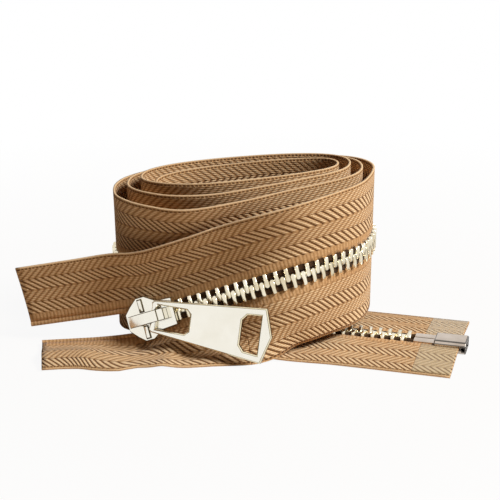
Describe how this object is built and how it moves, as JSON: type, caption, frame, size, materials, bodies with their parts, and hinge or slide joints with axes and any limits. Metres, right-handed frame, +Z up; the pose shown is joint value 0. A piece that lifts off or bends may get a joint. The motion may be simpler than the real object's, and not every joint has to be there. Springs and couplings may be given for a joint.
{
  "type": "separating zipper",
  "caption": "Coiled separating metal zipper: woven tapes, interlocking teeth, locking slider with a pull tab, and a pin and box at the far end.",
  "frame": {"origin": "middle of the footprint, on the surface the coil stands on", "axes": "+X along the coil's long side towards the box end, +Y from the slider's side to the back of the coil, +Z up across the tape's width"},
  "size_m": [0.1102, 0.0548, 0.0412],
  "materials": {
    "tape": "herringbone weave",
    "cord": "matt",
    "teeth": "satin, nickel plated",
    "slider": "polished, pale gold plated",
    "box": "bright",
    "film": "clear film over the tape"
  },
  "bodies": {
    "tapes": {"upper_tape": "tape", "lower_tape": "tape", "upper_cord": "cord", "lower_cord": "cord", "upper_teeth": "teeth", "lower_teeth": "teeth", "upper_run_teeth": "teeth", "lower_run_teeth": "teeth", "upper_top_stop": "teeth", "lower_top_stop": "teeth", "insertion_pin": "box", "retainer_pin": "box", "retainer_box": "box", "upper_film_front": "film", "upper_film_back": "film", "lower_film_front": "film", "lower_film_back": "film"},
    "slider": {"slider_body": "slider", "slider_crown": "slider"},
    "lock_pawl": {"lock_pawl": "box"},
    "pull_tab": {"pull_tab": "slider"}
  },
  "joints": [
    {"name": "slider_travel", "type": "slide", "parent": "tapes", "child": "slider", "axis": [0.9081, -0.2219, 0.3551], "range_m": [0, 0.022], "deforming": ["upper_tape", "lower_tape", "upper_cord", "lower_cord", "upper_run_teeth", "lower_run_teeth"]},
    {"name": "pull_tab_flip", "type": "hinge", "parent": "slider", "child": "pull_tab", "pos_m": [-0.02235, -0.01174, 0.00912], "axis": [-0.1295, -0.2272, -0.9652], "range_deg": [0, 120]},
    {"name": "lock_pawl_lift", "type": "slide", "parent": "slider", "child": "lock_pawl", "axis": [-0.3233, -0.9106, 0.2577], "range_m": [0, 0.0004]}
  ],
  "couplings": [
    {"joint": "lock_pawl_lift", "follows": "pull_tab_flip", "m_per_rad": 0.00019}
  ]
}
